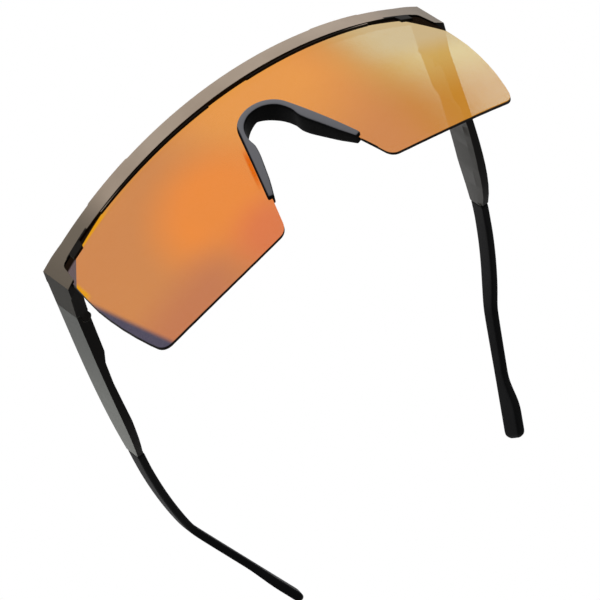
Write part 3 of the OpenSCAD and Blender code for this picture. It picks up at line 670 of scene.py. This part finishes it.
def nose_ring(s, side, shrink=1.0, ahead=0.0):
    """The section at a distance s from the top of the arch, along its rim."""
    if s < NOSE_ARC:
        a = math.pi / 2 - s / NOSE_RADIUS
        out = Vector((math.cos(a), math.sin(a)))
        rim = Vector((0, -NOSE_DROP)) + out * NOSE_RADIUS
    else:
        out = Vector((math.cos(SPLAY), math.sin(SPLAY)))
        down = Vector((math.sin(SPLAY), -math.cos(SPLAY)))
        rim = Vector((0, -NOSE_DROP)) + out * NOSE_RADIUS + down * (s - NOSE_ARC + ahead)
    depth = lens_face(rim.x, rim.y, LENS_RADIUS - LENS_THICK) - lens_face(rim.x, rim.y)
    section, middle = nose_section(s / NOSE_LENGTH, depth)
    if shrink < 1:
        section = [tuple(middle + (Vector(q) - middle) * shrink) for q in section]
    ring = []
    for u, v in section:
        p = rim + out * u
        ring.append(from_lean(p.x, lens_face(p.x, p.y) + v, p.y, side))
    return ring


def nose_piece():
    stations = [NOSE_ARC * i / ARC_STEPS for i in range(ARC_STEPS)]
    stations += [NOSE_ARC + LEG * i / LEG_STEPS for i in range(LEG_STEPS + 1)]

    def half(side, places):
        ends = [nose_ring(NOSE_LENGTH, side, k, a) for k, a in NOSE_ENDS]
        return [nose_ring(s, side) for s in places] + ends

    verts, faces = loft(half(-1, stations[1:])[::-1] + half(1, stations))
    obj = mesh_object("nose_piece_soft", verts, faces, NOSE_RUBBER)
    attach(obj, "front")
    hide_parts("nose_piece")


def dress(node, material):
    """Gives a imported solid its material, smooth but for its creases."""
    obj = frame["nodes"][node]
    obj.data.materials.clear()
    obj.data.materials.append(material)
    for poly in obj.data.polygons:
        poly.material_index = 0
        poly.use_smooth = True
    joined = obj.modifiers.new("weld", "WELD")
    joined.merge_threshold = 1e-6
    split = obj.modifiers.new("split", "EDGE_SPLIT")
    split.split_angle = math.radians(28)


dress("brow_frame", BRONZE)
# The lens doesn't mirror the brow's dark underside, whose shade its own tones already show
frame["nodes"]["brow_frame"].visible_glossy = False
dress("lens", LENS)
for side in ("left", "right"):
    dress(side + "_temple_arm", GRAPHITE)
    dress(side + "_temple_core", STEEL)
    dress(side + "_hinge_screw", STEEL)
    dress(side + "_hinge_insert", BRASS)
temple_tip(1, "left_tip_rubber", "left_temple", "left_temple_tip")
temple_tip(-1, "right_tip_rubber", "right_temple", "right_temple_tip")
nose_piece()


# Camera, fitted to the photograph in the worn frame (mm and degrees)
CAMERA_TURN = (-26, -46.16, -55.3)
CAMERA_AIM, CAMERA_RIGHT, CAMERA_UP, CAMERA_BACK = Vector((0, 0, -10)), 13.86, -43.35, 1500.0
PIXELS_PER_MM, IMAGE = 3.46, 600.0


def camera_axes(azimuth, elevation, roll):
    a, e, r = (math.radians(v) for v in (azimuth, elevation, roll))
    back = Vector((math.sin(a) * math.cos(e), -math.cos(a) * math.cos(e), math.sin(e)))
    right = (-back).cross(Vector((0, 0, 1))).normalized()
    up = right.cross(-back)
    return right * math.cos(r) + up * math.sin(r), up * math.cos(r) - right * math.sin(r), back


def camera():
    right, up, back = camera_axes(*CAMERA_TURN)
    place = CAMERA_AIM + right * CAMERA_RIGHT + up * CAMERA_UP + back * CAMERA_BACK
    data = bpy.data.cameras.new("camera")
    data.sensor_width = 36.0
    data.lens = CAMERA_BACK * PIXELS_PER_MM / IMAGE * data.sensor_width
    data.clip_start = 0.05
    data.clip_end = 20.0
    obj = link("camera", data)
    turn = TURN.to_3x3()
    axes = Matrix([turn @ right, turn @ up, turn @ back]).transposed().to_4x4()
    obj.matrix_world = Matrix.Translation(rest(place)) @ axes
    bpy.context.scene.camera = obj


# Floor, world and lamps
FLOOR_HALF, FLOOR_DROP = 3.0, 0.0002
AMBIENT = 0.12


def floor():
    """Pale floor: it takes shadows, is white in mirrors, and lets rays through from below."""
    n = Material("floor_white")
    path = n.add("LightPath").outputs
    shadowed = n.add("BsdfDiffuse", Color=grey(0.9)).outputs[0]
    dim = n.add("BsdfDiffuse", Color=grey(0.1)).outputs[0]
    white = n.add("Emission", Color=grey(1), Strength=1.0).outputs[0]
    shader = n.blend(path["Is Camera Ray"], dim, shadowed)
    shader = n.blend(path["Is Glossy Ray"], shader, white)
    shader = n.blend(n.add("NewGeometry").outputs["Backfacing"], shader, n.clear())
    corners = ((-1, -1), (1, -1), (1, 1), (-1, 1))
    verts = [(x * FLOOR_HALF, y * FLOOR_HALF, -FLOOR_DROP) for x, y in corners]
    obj = mesh_object("floor", verts, [(0, 1, 2, 3)], n.surface(shader), 0)


def world():
    """White where it is seen, mirrored or seen through glass, and dim as light on the object."""
    sky = bpy.data.worlds.new("studio")
    sky.use_nodes = True
    n = Nodes(sky.node_tree)
    path = n.add("LightPath").outputs
    seen = n.plus(path["Is Camera Ray"], path["Is Glossy Ray"])
    seen = n.plus(seen, path["Is Transmission Ray"])
    strength = n.add("MapRange", Value=seen, To_Min=AMBIENT, To_Max=1.0).outputs[0]
    back = n.tree.nodes["Background"]
    n.set(back, "Color", grey(1))
    n.set(back, "Strength", strength)
    bpy.context.scene.world = sky


def lamp(name, place, aim, size, power):
    data = bpy.data.lights.new(name, "AREA")
    data.shape = "DISK"
    data.size = size
    data.energy = power
    obj = link(name, data)
    obj.location = place
    way = Vector(aim) - Vector(place)
    obj.rotation_euler = way.to_track_quat("-Z", "Y").to_euler()
    obj.visible_glossy = False


camera()
floor()
world()
lamp("key", (0.3, -1.3, 0.9), (0, -0.05, 0.03), 0.7, 27)
lamp("fill", (-1.2, 0.3, 0.5), (0, 0, 0.03), 0.7, 6)
lamp("back", (0.2, 1.1, 1.0), (0, 0, 0.03), 0.6, 5)
bpy.context.scene.view_settings.view_transform = "Standard"
